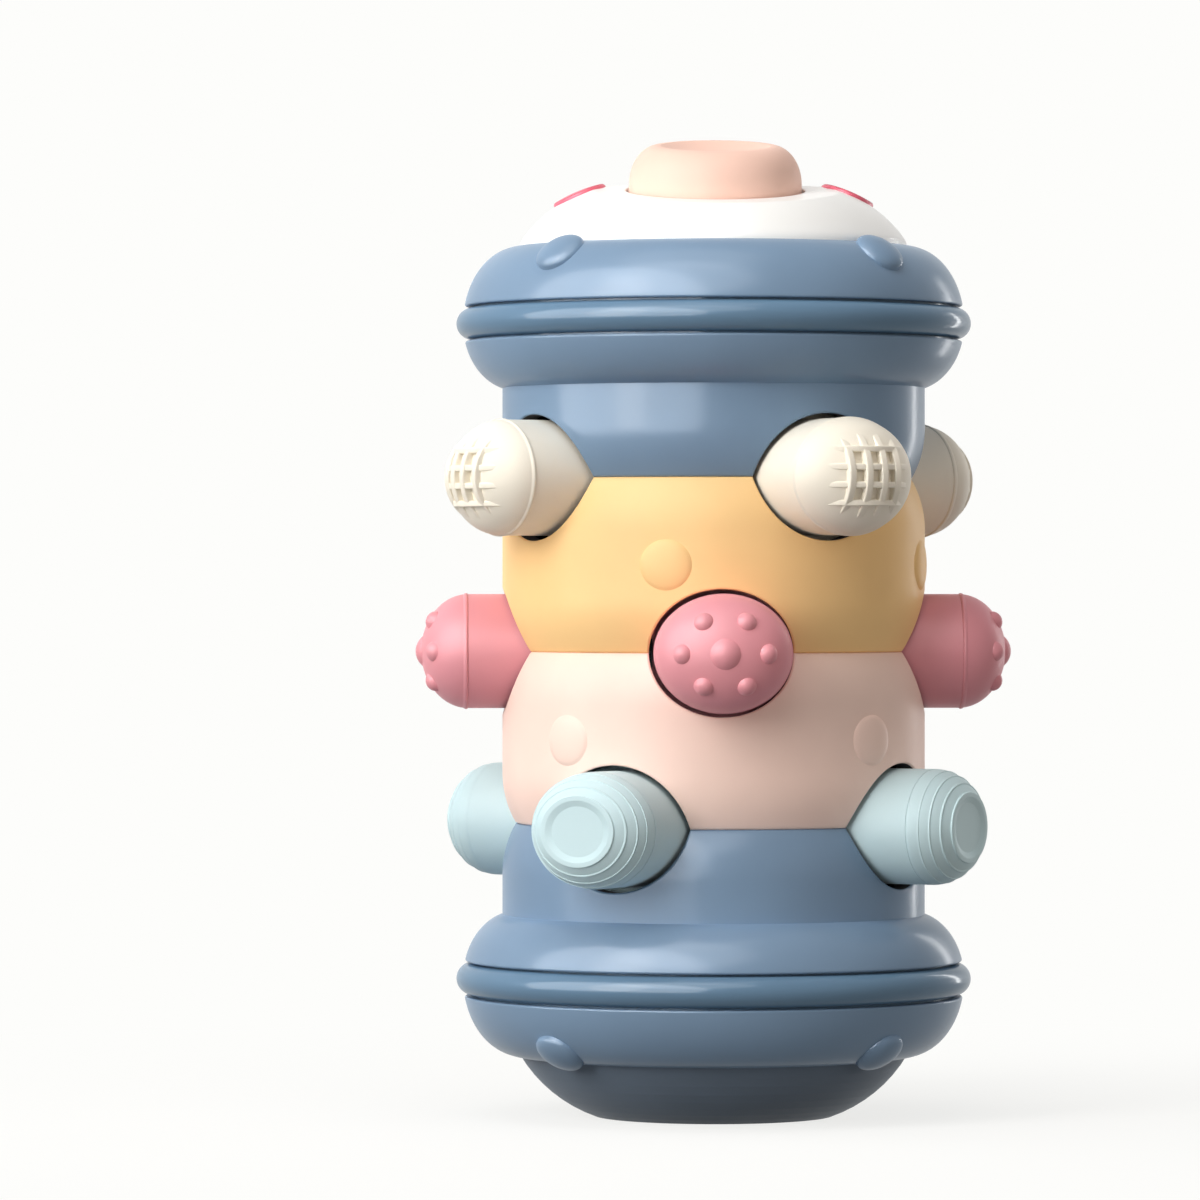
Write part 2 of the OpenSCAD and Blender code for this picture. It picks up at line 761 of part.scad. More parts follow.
// Oval ball with stepped rings up to a flat, dished disc
module ringed_ball() {
    rings = 3;
    half = peg_w / 2;
    disc_r = half * sin(disc_edge);
    disc_z = peg_dome * cos(disc_edge) + ring_rise;
    difference() {
        union() {
            peg_ball();
            squeezed() {
                for (i = [1:rings]) {
                    a = disc_edge + i * ring_step;
                    translate([0, 0, peg_dome * cos(a) - relief_h])
                        cylinder(r = half * sin(a), h = relief_h + ring_rise);
                }
                cylinder(r = disc_r, h = disc_z);
            }
        }
        squeezed() {
            translate([0, 0, disc_z]) cylinder(r = disc_r + overcut, h = peg_dome);
            translate([0, 0, disc_z - disc_sink])
                cylinder(r1 = disc_r - disc_rim - disc_slope, r2 = disc_r - disc_rim, h = disc_sink + overcut / 100);
        }
    }
}

module peg_cap(row, i) {
    plug_w = peg_w / 2 - sleeve_wall - fit_gap;
    plug_h = peg_h / 2 - sleeve_wall - fit_gap;
    color(PEG_COLOURS[row]) at_peg(row, i) {
        intersection() {
            union() {
                if (row == 0) ringed_ball();
                else peg_ball();
                if (row == 1) dot_relief();
                if (row == 2) lattice_relief();
            }
            translate([joint_x, -peg_w, -peg_w]) cube(2 * peg_w);
        }
        oval_bar(plug_w, plug_h, web_x + web_t, joint_x + overcut);
    }
}

foot_cap();
lower_collar();
lower_bumper_ring();
lower_drum();
peach_band();
yellow_band();
upper_drum();
upper_bumper_ring();
upper_collar();
dome_cover();
dome_pad_left();
dome_pad_right();
button_cap();
button_spring();
core_post();
crown_plate();
base_screws();
crown_screws();
for (row = [0:len(ROWS) - 1]) for (i = [0:PEGS_IN_ROW - 1]) {
    peg_sleeve(row, i);
    peg_cap(row, i);
    peg_spring(row, i);
}
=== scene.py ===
import math

import bmesh
import bpy
from mathutils import Matrix, Vector


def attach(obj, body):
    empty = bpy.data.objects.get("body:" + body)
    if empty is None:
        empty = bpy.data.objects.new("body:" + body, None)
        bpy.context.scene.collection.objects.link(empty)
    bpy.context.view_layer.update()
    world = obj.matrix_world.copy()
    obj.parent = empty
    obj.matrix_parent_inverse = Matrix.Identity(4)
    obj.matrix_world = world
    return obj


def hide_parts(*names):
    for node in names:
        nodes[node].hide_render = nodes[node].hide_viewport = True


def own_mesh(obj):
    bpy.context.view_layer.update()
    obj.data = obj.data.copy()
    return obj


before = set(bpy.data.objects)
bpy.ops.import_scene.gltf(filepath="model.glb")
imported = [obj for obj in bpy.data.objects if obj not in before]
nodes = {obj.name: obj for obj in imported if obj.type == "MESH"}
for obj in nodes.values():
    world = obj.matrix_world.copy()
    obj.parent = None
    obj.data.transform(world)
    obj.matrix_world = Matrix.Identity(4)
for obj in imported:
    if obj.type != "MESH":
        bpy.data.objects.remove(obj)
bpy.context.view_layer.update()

MM = 0.001
TURNS = 288

# Sizes of the toy in millimetres and degrees, close to those of the part's source
BODY_R, ROW_PITCH, SEAM_DIP, EDGE_H, WALL = 45.0, 36.6, 2.9, 10.7, 2.6
COLLAR_R, RING_OFFSET, COLLAR_RISE, COLLAR_DROP = 53.4, 69.7, 16.3, 14.2
RING_R, RING_H, RING_GAP, RIM_R = 54.8, 6.6, 0.4, 41.4
TONGUE_DEPTH, RING_PROUD, WAIST_IN = 6.4, 4.2, 3
LEDGE_DROP, LEDGE_W, COLLAR_WALL, LIP_ROUND = 3.6, 3, 2.2, 0.4
COLLAR_BUMP_R, COLLAR_BUMP_H, COLLAR_BUMP_SINK, COLLAR_BUMP_AT = 5.4, 1.8, 1.6, 60
BAND_BUMP_W, BAND_BUMP_H, BAND_BUMP_RISE, BAND_BUMP_SINK = 5.5, 5.3, 0.95, 1.0
PEGS_IN_ROW, QUARTER, ROW_TURN = 4, 90, 30
PEG_W, PEG_H, PEG_GAP, PEG_REACH, PEG_DOME = 28.1, 24.3, 1.1, 17.3, 10.0
PLUG_L, PLUG_IN, CAP_GAP = 4, 1.95, 0.02
RELIEF_H, LATTICE_PITCH, LATTICE_SINK = 1.2, 3.7, 0.6
UPRIGHT_W, LEVEL_W, LEVEL_DROP, OUTER_SHARE, UPRIGHT_SHARE = 1.6, 1.3, 0.2, 0.87, 0.9
DOT_MID_R, DOT_R, DOT_RING, DOT_SINK = 2.9, 2.0, 9.0, 1.2
DISC_EDGE, RING_STEP, RING_RISE, DISC_DISH = 38.0, 12.6, 0.4, 0.45
DOME_R, BALL_LIFT, LEAN = 62.4, 0.5, 9.0
DOME_WALL, DOME_SKIRT, DOME_EDGE, HOLE_ROUND = 2.6, 2.8, 1.1, 0.35
SHOULDER_R, SHOULDER_AT, SHOULDER_RISE = 27.0, 18.6, 0.9
PEG_COIL_R, PEG_WIRE, PEG_TURNS, PEG_TRAVEL = 4.4, 1.0, 5, 12.0
BUTTON_COIL_R, BUTTON_WIRE, BUTTON_TURNS, BUTTON_TRAVEL = 10.2, 1.2, 4, 4.0
POST_R, SEAT_H, WEB_IN = 9.0, 1, 6
PLATE_LIFT, PLATE_T, COIL_LIFT, ROOF_T = 2, 3.0, 5.5, 1.7
BUTTON_R, BUTTON_H, DISH_R, DISH_DEPTH, BUTTON_GAP = 18.3, 9.4, 11.6, 2.2, 0.7
FLANGE_W, FLANGE_T, FLANGE_GAP, LAND_RIM = 2.3, 1.8, 0.3, 2.6
PAD_W, PAD_H, PAD_PROUD, PAD_AT, PAD_DEPTH = 19.0, 11.8, 0.7, 26.5, 1.2
FOOT_H, FIT_GAP = 12.9, 0.15

MID_Z = FOOT_H + COLLAR_RISE + RING_OFFSET
RIM_Z = MID_Z + RING_OFFSET + COLLAR_RISE
EDGE_ROUND = (SEAM_DIP ** 2 + EDGE_H ** 2) / (2 * SEAM_DIP)
RING_SEAT = RING_H / 2 + RING_GAP
TONGUE_IN = COLLAR_R - TONGUE_DEPTH
TONGUE_OUT = RING_R - RING_PROUD
WAIST_R = BODY_R - WAIST_IN
INNER_R = BODY_R - SEAM_DIP - WALL
TIP_X = BODY_R + PEG_REACH
JOINT_X = TIP_X - PEG_DOME
DOME_RIM_R = RIM_R - FIT_GAP
DOME_Z = RIM_Z + BALL_LIFT - math.sqrt(DOME_R ** 2 - DOME_RIM_R ** 2)
SHOULDER_FOOT = RIM_Z + SHOULDER_RISE - DOME_Z
SHOULDER_Z = SHOULDER_FOOT - math.sqrt(SHOULDER_R ** 2 - (DOME_RIM_R - SHOULDER_AT) ** 2)
LAND_R = BUTTON_R + LAND_RIM
LAND = math.sqrt(DOME_R ** 2 - LAND_R ** 2)
PEG_SEAT, PEG_WEB = POST_R + SEAT_H, JOINT_X - WEB_IN
PLATE_TOP = MID_Z + RING_OFFSET + PLATE_LIFT + PLATE_T - DOME_Z
BUTTON_SEAT = PLATE_TOP / math.cos(math.radians(LEAN)) + COIL_LIFT
BUTTON_ROOF = LAND + BUTTON_H - DISH_DEPTH - ROOF_T
ROWS = ("mint", "pink", "cream")


# Colours and materials

def linear(r, g, b):
    """Linear colour from 0 to 255 screen values."""
    out = []
    for v in (r, g, b):
        v /= 255
        out.append(v / 12.92 if v <= 0.04045 else ((v + 0.055) / 1.055) ** 2.4)
    return (*out, 1.0)


def node(tree, kind, **sockets):
    """A shader node with its sockets set by name."""
    n = tree.nodes.new(kind)
    for name, value in sockets.items():
        n.inputs[name.replace("_", " ")].default_value = value
    return n


def plastic(name, colour, rough, coat=0.0, coat_rough=0.1, grain=0.02, sheen=0.0, shift=0.05, spec=0.5):
    """Moulded plastic: clouded colour, uneven gloss and a fine grain in the surface."""
    m = bpy.data.materials.new(name)
    m.use_nodes = True
    t = m.node_tree
    t.nodes.clear()
    out = t.nodes.new("ShaderNodeOutputMaterial")
    bsdf = node(t, "ShaderNodeBsdfPrincipled", Coat_Weight=coat, Coat_Roughness=coat_rough,
                Sheen_Weight=sheen, Sheen_Roughness=0.5, Specular_IOR_Level=spec)
    place = t.nodes.new("ShaderNodeTexCoord")
    cloud = node(t, "ShaderNodeTexNoise", Scale=34.0, Detail=3.0)
    tint = t.nodes.new("ShaderNodeValToRGB")
    darker, lighter = tint.color_ramp.elements
    darker.position, lighter.position = 0.3, 0.7
    darker.color = (*[c * (1 - shift) for c in colour[:3]], 1)
    lighter.color = (*[min(1, c * (1 + shift)) for c in colour[:3]], 1)
    wipe = node(t, "ShaderNodeTexNoise", Scale=120.0, Detail=4.0)
    gloss = node(t, "ShaderNodeMapRange", To_Min=max(0.02, rough - 0.05), To_Max=rough + 0.05)
    fine = node(t, "ShaderNodeTexNoise", Scale=2600.0, Detail=2.0)
    bump = node(t, "ShaderNodeBump", Strength=grain, Distance=0.0002)
    link = t.links.new
    for n in (cloud, wipe, fine):
        link(place.outputs["Object"], n.inputs["Vector"])
    link(cloud.outputs["Fac"], tint.inputs["Fac"])
    link(tint.outputs["Color"], bsdf.inputs["Base Color"])
    link(wipe.outputs["Fac"], gloss.inputs["Value"])
    link(gloss.outputs["Result"], bsdf.inputs["Roughness"])
    link(fine.outputs["Fac"], bump.inputs["Height"])
    link(bump.outputs["Normal"], bsdf.inputs["Normal"])
    link(bsdf.outputs["BSDF"], out.inputs["Surface"])
    return m


def steel(name):
    """Drawn and plated steel."""
    m = plastic(name, linear(196, 198, 202), 0.3, grain=0.1)
    m.node_tree.nodes["Principled BSDF"].inputs["Metallic"].default_value = 1.0
    return m


BLUE = plastic("blue_satin", linear(119, 144, 170), 0.36, coat=0.27, coat_rough=0.19, spec=0.04)
RING_BLUE = plastic("ring_gloss", linear(98, 128, 154), 0.3, coat=0.24, coat_rough=0.1, spec=0.04)
YELLOW = plastic("yellow_satin", linear(252, 209, 148), 0.42, coat=0.03, coat_rough=0.24, spec=0.04)
PEACH = plastic("peach_satin", linear(251, 220, 207), 0.42, coat=0.03, coat_rough=0.24, spec=0.04)
WHITE = plastic("dome_white", linear(243, 243, 241), 0.34, coat=0.1, coat_rough=0.12, shift=0.015, spec=0.2)
ROSE = plastic("pad_rose", linear(228, 105, 125), 0.38, spec=0.2)
BUTTON = plastic("button_peach", linear(238, 200, 184), 0.5, grain=0.05, spec=0.06)
SLATE = plastic("foot_slate", linear(106, 119, 134), 0.45, coat=0.05, coat_rough=0.3, spec=0.06)
MINT_PEG = plastic("peg_mint", linear(196, 220, 225), 0.52, grain=0.06, sheen=0.05, shift=0.03, spec=0.07)
PINK_PEG = plastic("peg_pink", linear(227, 151, 160), 0.5, coat=0.15, coat_rough=0.32, grain=0.06,
                   sheen=0.05, shift=0.04, spec=0.07)
CREAM_PEG = plastic("peg_cream", linear(243, 236, 221), 0.52, grain=0.06, sheen=0.05, shift=0.03, spec=0.07)
PEG_MATERIAL = {"mint": MINT_PEG, "pink": PINK_PEG, "cream": CREAM_PEG}
# Painted shade: the walls of the peg holes and the inner strips at the seams are coloured near black to
# stand in for the shade inside the drum. It is not the shells' own colour.
PAINTED_HOLE_SHADE = plastic("painted_hole_shade", linear(14, 14, 16), 0.7, grain=0.1, shift=0.2)
INNER = plastic("inner_white", linear(224, 224, 222), 0.5, grain=0.06)
STEEL = steel("spring_steel")


# Making of pieces

def piece(name, verts, faces, materials, body, replaced, indices=None, sharp=38.0, place=None):
    """A smooth closed mesh in millimetres, riding on a body in place of a CAD node."""
    mesh = bpy.data.meshes.new(name)
    points = [Vector(v) for v in verts]
    if place is not None:
        points = [place @ v for v in points]
    mesh.from_pydata([v * MM for v in points], [], faces)
    for m in materials:
        mesh.materials.append(m)
    if indices:
        mesh.polygons.foreach_set("material_index", indices)
    work = bmesh.new()
    work.from_mesh(mesh)
    bmesh.ops.recalc_face_normals(work, faces=work.faces)
    work.to_mesh(mesh)
    work.free()
    mesh.shade_smooth()
    mesh.set_sharp_from_angle(angle=math.radians(sharp))
    obj = bpy.data.objects.new(name, mesh)
    bpy.context.scene.collection.objects.link(obj)
    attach(obj, body)
    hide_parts(replaced)
    return obj


def grid(rows, closed_rows=False):
    """Quads over rows of points that run round in rings."""
    n_rows, n_cols = len(rows), len(rows[0])
    faces = []
    for i in range(n_rows if closed_rows else n_rows - 1):
        a, b = i * n_cols, ((i + 1) % n_rows) * n_cols
        for j in range(n_cols):
            k = (j + 1) % n_cols
            faces.append((a + j, a + k, b + k, b + j))
    return faces


def flat(rows):
    """The points of all rows in one list."""
    return [p for row in rows for p in row]


def closed_ends(rows, first, last):
    """A tube of rings that a fan to one point closes at each end."""
    verts, faces = flat(rows), grid(rows)
    turns = len(rows[0])
    end, top = (len(rows) - 1) * turns, len(verts)
    verts += [first, last]
    for j in range(turns):
        k = (j + 1) % turns
        faces.append((top, j, k))
        faces.append((top + 1, end + k, end + j))
    return verts, faces


def joined(parts):
    """One list of points and one of faces from several parts."""
    verts, faces = [], []
    for more_verts, more_faces in parts:
        base = len(verts)
        verts += more_verts
        faces += [tuple(base + i for i in f) for f in more_faces]
    return verts, faces


def arc(cx, cy, rx, ry, start, end, steps):
    """Points of an elliptical arc, angles in degrees."""
    out = []
    for i in range(steps + 1):
        a = math.radians(start + (end - start) * i / steps)
        out.append((cx + rx * math.cos(a), cy + ry * math.sin(a)))
    return out


def rounded(points, steps=5):
    """An open or closed chain of (x, y) or (x, y, radius), with its corners rounded."""
    out = []
    count = len(points)
    for i, p in enumerate(points):
        radius = p[2] if len(p) > 2 else 0
        here = Vector(p[:2])
        if not radius:
            out.append(tuple(here))
            continue
        before = Vector(points[(i - 1) % count][:2]) - here
        after = Vector(points[(i + 1) % count][:2]) - here
        half = before.angle(after) / 2
        back = radius / math.tan(half)
        back = min(back, before.length * 0.49, after.length * 0.49)
        radius = back * math.tan(half)
        middle = here + (before.normalized() + after.normalized()).normalized() * (radius / math.sin(half))
        one = here + before.normalized() * back - middle
        two = here + after.normalized() * back - middle
        for k in range(steps + 1):
            mix = one.lerp(two, k / steps)
            out.append(tuple(middle + mix.normalized() * radius))
    return out


def turned(profile):
    """Rows of a turned body about Z from a chain of (r, z)."""
    rows = []
    for r, z in profile:
        ring = []
        for j in range(TURNS):
            a = 2 * math.pi * j / TURNS
            ring.append((r * math.cos(a), r * math.sin(a), z))
        rows.append(ring)
    return rows


def ringed(name, profile, material, replaced, extra=(), sharp=38.0):
    """A turned ring on the drum, from a closed chain of (r, z)."""
    rows = turned(profile)
    verts, faces = joined([(flat(rows), grid(rows, closed_rows=True)), *extra])
    return piece(name, verts, faces, [material], "drum", replaced, sharp=sharp)


def turned_bump(place, h, profile, turns):
    """A bump turned about X of its place, from its top at h down a chain of (x, r) to a flat underside."""
    rings = len(profile)
    rows = []
    for x, r in profile:
        row = []
        for j in range(turns):
            b = 2 * math.pi * j / turns
            row.append(tuple(place @ Vector((x, r * math.cos(b), r * math.sin(b)))))
        rows.append(row)
    verts = flat(rows)
    faces = grid(rows)
    verts.append(tuple(place @ Vector((h, 0, 0))))
    top = len(verts) - 1
    for j in range(turns):
        faces.append((top, j, (j + 1) % turns))
    faces.append(tuple(range((rings - 1) * turns, rings * turns)))
    return verts, faces


def ball_bump(place, r, h, sink):
    """A cap of a ball that stands out along X by h and is r wide, sunk into what carries it."""
    rings, turns = 12, 40
    ball = (r * r + h * h) / (2 * h)
    last = math.acos((ball - h - sink) / ball)
    angles = [last * i / rings for i in range(1, rings + 1)]
    profile = [(h - ball + ball * math.cos(a), ball * math.sin(a)) for a in angles]
    return turned_bump(place, h, profile, turns)


def pillow(place, r, h, sink):
    """A round bump with full sides that stands out along X by h."""
    rings, turns, low = 16, 64, 0.5
    angles = [math.radians(QUARTER * i / rings) for i in range(1, rings + 1)]
    profile = [((h + low) * math.cos(a) - low, r * math.sin(a)) for a in angles]
    return turned_bump(place, h, profile + [(-sink, r)], turns)


def band_bump(place):
    """A low round bump on a band: X stands out of the surface, which bends away sideways."""
    rings, turns, fullness = 12, 64, 0.55
    around = [2 * math.pi * j / turns for j in range(turns)]
    rows = []
    for i in range(1, rings + 1):
        p = i / rings
        row = []
        for a in around:
            y, z = BAND_BUMP_W * p * math.cos(a), BAND_BUMP_H * p * math.sin(a)
            x = BAND_BUMP_RISE * (1 - p * p) ** fullness
            x += math.sqrt(BODY_R * BODY_R - y * y) - BODY_R
            row.append(tuple(place @ Vector((x, y, z))))
        rows.append(row)
    under = []
    for a in around:
        spot = Vector((-BAND_BUMP_SINK, BAND_BUMP_W * math.cos(a), BAND_BUMP_H * math.sin(a)))
        under.append(tuple(place @ spot))
    top = tuple(place @ Vector((BAND_BUMP_RISE, 0, 0)))
    bottom = tuple(place @ Vector((-BAND_BUMP_SINK, 0, 0)))
    return closed_ends(rows + [under], top, bottom)


def turn_z(degrees):
    return Matrix.Rotation(math.radians(degrees), 4, "Z")


def at(x, y, z):
    return Matrix.Translation((x, y, z))


def peg_turn(row, i):
    """Turn of a peg about the axis of the drum, in degrees."""
    return (row - 1) * ROW_TURN + i * QUARTER - QUARTER


def peg_place(row, i):
    return turn_z(peg_turn(row, i)) @ at(0, 0, MID_Z + (row - 1) * ROW_PITCH)


# Bands of the drum, whose oval holes are shared by two bands at each seam

HOLE_W = PEG_W / 2 + PEG_GAP
HOLE_H = PEG_H / 2 + PEG_GAP
HOLE_DEPTH = 3.4
EDGE_FILLET = 0.45
SEAM_R = 42.0
EVEN_COLUMNS = 180
EVEN_ROWS = 26
CLOSEST = 0.0006
NEAR = (0.0, 0.04, 0.1, 0.18, 0.28, 0.4, 0.6, 0.9, 1.4, 2.0)


def barrel(t):
    """Radius of a band at height t above its lower seam."""
    t = min(t, ROW_PITCH - t)
    if t >= EDGE_H:
        return BODY_R
    return BODY_R - EDGE_ROUND + math.sqrt(EDGE_ROUND ** 2 - (EDGE_H - t) ** 2)


def hole_edge(delta, radius):
    """Height of the edge of a hole above its seam, at an angle from the middle of the hole."""
    low, high = 0.0, HOLE_H
    s = abs(math.sin(delta))

    def inside(z):
        return (radius(z) * s / HOLE_W) ** 2 + (z / HOLE_H) ** 2 < 1
    if not inside(1e-6):
        return 0.0
    for _ in range(40):
        middle = (low + high) / 2
        if inside(middle):
            low = middle
        else:
            high = middle
    return (low + high) / 2


def hole_columns(radius):
    """Angles, from the middle of a hole, that follow its edge and crowd towards its two corners."""
    steps = 26
    angles = []
    for i in range(steps + 1):
        phi = math.pi / 2 * i / steps
        z = HOLE_H * math.sin(phi)
        angles.append(math.asin(min(1, HOLE_W * math.cos(phi) / radius(z))))
    corner = angles[0]
    angles += [corner + d / SEAM_R for d in NEAR[1:]]
    return sorted(set(angles + [-a for a in angles]))


def wrap(a):
    """The same angle between minus and plus half a turn."""
    return (a + math.pi) % (2 * math.pi) - math.pi


def fillet(d):
    """How far the rounded edge lies below the surface at a distance from the edge."""
    if d >= EDGE_FILLET:
        return 0.0
    d = max(d, 0.0)
    return EDGE_FILLET - math.sqrt(EDGE_FILLET ** 2 - (EDGE_FILLET - d) ** 2)


def hole_distance(delta, z, r):
    """Distance of a place on the band from the edge of a hole."""
    if math.cos(delta) < 0.5:
        return ROW_PITCH
    y = r * math.sin(delta)
    f = math.hypot(y / HOLE_W, z / HOLE_H)
    slope = math.hypot(y / HOLE_W ** 2, z / HOLE_H ** 2) / max(f, 1e-6)
    return (f - 1) / max(slope, 1e-6)


def band_shell(name, low_row, high_row, tail, material, mirrored=False, bumps=()):
    """A band from one seam to the next, or from a seam into a tail of (r, t) points."""
    top = ROW_PITCH if tail is None else tail[0][1]

    def radius(t):
        if tail is not None and t > EDGE_H:
            return BODY_R
        return barrel(t)

    low_turns = [math.radians(peg_turn(low_row, i)) for i in range(PEGS_IN_ROW)]
    if tail is None:
        high_turns = [math.radians(peg_turn(high_row, i)) for i in range(PEGS_IN_ROW)]
    else:
        high_turns = []
    angles = []
    for middle in low_turns + high_turns:
        angles += [wrap(middle + d) for d in hole_columns(radius)]
    angles += [wrap(2 * math.pi * i / EVEN_COLUMNS) for i in range(EVEN_COLUMNS)]
    angles.sort()
    kept = [angles[0]]
    for a in angles[1:]:
        if a - kept[-1] > CLOSEST:
            kept.append(a)
    if kept[0] + 2 * math.pi - kept[-1] < CLOSEST:
        kept.pop()

    def nearest(a, middles):
        return min((wrap(a - m) for m in middles), key=abs) if middles else math.pi

    shares = [i / (EVEN_ROWS + 1) for i in range(1, EVEN_ROWS + 1)]
    columns = []
    for a in kept:
        d_low, d_high = nearest(a, low_turns), nearest(a, high_turns)
        z_low = hole_edge(d_low, radius)
        z_high = top - (hole_edge(d_high, radius) if high_turns else 0.0)
        in_low, in_high = z_low > 1e-4, z_high < top - 1e-4
        column = []
        heights = [z_low + d for d in NEAR]
        if tail is None:
            ends = [z_high - d for d in reversed(NEAR)]
        else:
            ends = [z_high]
        heights += [heights[-1] + (ends[0] - heights[-1]) * s for s in shares] + ends
        for z in heights:
            r = radius(z)
            d = hole_distance(d_low, z, r)
            if not in_low:
                d = min(d, z - z_low)
            if high_turns:
                d = min(d, hole_distance(d_high, top - z, r))
                if not in_high:
                    d = min(d, z_high - z)
            column.append(((r - fillet(d)) * math.cos(a), (r - fillet(d)) * math.sin(a), z))

        def inward(z, delta, in_hole, middle):
            r = radius(z) - EDGE_FILLET
            if not in_hole:
                return (INNER_R * math.cos(a), INNER_R * math.sin(a), z)
            x, y = r * math.cos(delta) - HOLE_DEPTH, r * math.sin(delta)
            c, s = math.cos(middle), math.sin(middle)
            return (x * c - y * s, x * s + y * c, z)

        first = inward(z_low, d_low, in_low, a - d_low)
        if tail is None:
            last = [inward(z_high, d_high, in_high, a - d_high)]
        else:
            last = [(r * math.cos(a), r * math.sin(a), z) for r, z in tail[1:]]
        columns.append([first] + column + last)
    n_rows = len(columns[0])
    rows = [[columns[j][i] for j in range(len(columns))] for i in range(n_rows)]
    if mirrored:
        rows = [[(x, y, MID_Z - ROW_PITCH - z) for x, y, z in row] for row in rows]
    else:
        base = MID_Z + (low_row - 1) * ROW_PITCH
        rows = [[(x, y, base + z) for x, y, z in row] for row in rows]
    shell = grid(rows, closed_rows=True)
    n_cols = len(kept)
    # Rows whose faces take the near-black painted shade: the hole walls and the inner strips.
    shade = {0, n_rows - 1} if tail is not None else {0, n_rows - 2, n_rows - 1}
    verts, faces = joined([(flat(rows), shell)] + [band_bump(place) for place in bumps])
    indices = [1 if (f // n_cols) in shade else 0 for f in range(len(shell))]
    indices += [0] * (len(faces) - len(shell))
    return piece(name + "_shell", verts, faces, [material, PAINTED_HOLE_SHADE], "drum", name, indices)


def bump_places(first, z):
    """Places of the round bumps on a band, the first at an angle from the front."""
    return [turn_z(first - QUARTER + QUARTER * i) @ at(BODY_R, 0, z) for i in range(PEGS_IN_ROW)]


peach_bumps = bump_places(QUARTER / 2, MID_Z - ROW_PITCH / 2)
yellow_bumps = bump_places(-ROW_TURN / 2, MID_Z + ROW_PITCH / 2)
band_shell("peach_band", 0, 1, None, PEACH, bumps=peach_bumps)
band_shell("yellow_band", 1, 2, None, YELLOW, bumps=yellow_bumps)

FLARE = COLLAR_R - WAIST_R
FLARE_START = -math.degrees(math.acos((BODY_R - WAIST_R) / FLARE))
FLARE_END = -math.degrees(math.asin(RING_SEAT / COLLAR_DROP))
flare_arc = arc(WAIST_R, RING_OFFSET - ROW_PITCH, FLARE, COLLAR_DROP, FLARE_START, FLARE_END, 40)
flare_top = RING_OFFSET - RING_SEAT - ROW_PITCH
flare_chain = [(BODY_R, flare_arc[0][1] - 1.2), (BODY_R, flare_arc[0][1] - 0.12)] + flare_arc[:-3]
edge = [flare_arc[-4], (*flare_arc[-1], LIP_ROUND), (TONGUE_IN, flare_top)]
flare_chain += rounded(edge, 6)[1:]
flare_chain += [(INNER_R, flare_top - TONGUE_IN + INNER_R)]
band_shell("upper_drum", 2, None, flare_chain, BLUE)
band_shell("lower_drum", 0, None, flare_chain, BLUE, mirrored=True)


# Collars, bumper rings, foot and dome

def upright(profile, upper):
    """A chain measured from the middle seam, placed above it or mirrored below it."""
    sign = 1 if upper else -1
    return [(r, MID_Z + sign * z) for r, z in profile]


def collar(name, upper):
    """The outer half of a collar with its four round bumps."""
    bulge = COLLAR_R - RIM_R
    start = math.degrees(math.asin(RING_SEAT / COLLAR_RISE))
    outer = arc(RIM_R, RING_OFFSET, bulge, COLLAR_RISE, start, QUARTER, 56)
    ledge = RING_OFFSET + COLLAR_RISE - LEDGE_DROP
    ledge_r = RIM_R - LEDGE_W
    chain = [(TONGUE_IN, RING_OFFSET + RING_SEAT), (*outer[0], LIP_ROUND)] + outer[3:-3]
    chain += [(*outer[-1], LIP_ROUND), (RIM_R, ledge), (ledge_r, ledge), (ledge_r, ledge - COLLAR_WALL)]
    chain += [(TONGUE_IN, RING_OFFSET + RING_SEAT + COLLAR_WALL)]
    profile = upright(rounded(chain, 6), upper)
    at_angle = math.radians(COLLAR_BUMP_AT)
    shoulder_r = RIM_R + bulge * math.cos(at_angle)
    shoulder_z = RING_OFFSET + COLLAR_RISE * math.sin(at_angle)
    slope = math.atan2(math.sin(at_angle) / COLLAR_RISE, math.cos(at_angle) / bulge)
    sign = 1 if upper else -1
    extra = []
    for i in range(4):
        place = turn_z(QUARTER / 2 + QUARTER * i) @ at(shoulder_r, 0, MID_Z + sign * shoulder_z)
        place = place @ Matrix.Rotation(-sign * slope, 4, "Y")
        extra.append(pillow(place, COLLAR_BUMP_R, COLLAR_BUMP_H, COLLAR_BUMP_SINK))
    return ringed(name + "_shell", profile, BLUE, name, extra)


collar("upper_collar", True)
collar("lower_collar", False)


def bumper_ring(name, upper):
    """A round bead on a tongue that the two halves of a collar clamp."""
    bead = RING_H / 2
    chain = [(TONGUE_IN, RING_OFFSET - RING_SEAT), (TONGUE_OUT, RING_OFFSET - RING_SEAT)]
    chain += [(TONGUE_OUT, RING_OFFSET - bead)]
    chain += arc(RING_R - bead, RING_OFFSET, bead, bead, -90, 90, 32)
    chain += [(TONGUE_OUT, RING_OFFSET + bead), (TONGUE_OUT, RING_OFFSET + RING_SEAT)]
    chain += [(TONGUE_IN, RING_OFFSET + RING_SEAT)]
    profile = upright(chain, upper)
    return ringed(name + "_bead", profile, RING_BLUE, name, sharp=30.0)


bumper_ring("upper_bumper_ring", True)
bumper_ring("lower_bumper_ring", False)

on_dome = at(0, 0, DOME_Z)
on_lean = on_dome @ Matrix.Rotation(math.radians(LEAN), 4, "X")


def dome_reach(way, grow=0.0):
    """Reach of the ball with its fuller shoulder from the middle of the ball along a unit vector."""
    out, up = math.hypot(way.x, way.y), way.z
    b = SHOULDER_AT * out + SHOULDER_Z * up
    c = SHOULDER_AT ** 2 + SHOULDER_Z ** 2 - (SHOULDER_R + grow) ** 2
    shoulder = b + math.sqrt(max(0.0, b * b - c))
    if shoulder * out < SHOULDER_AT:
        shoulder = (SHOULDER_Z + SHOULDER_R + grow) / up
    return max(DOME_R + grow, shoulder)


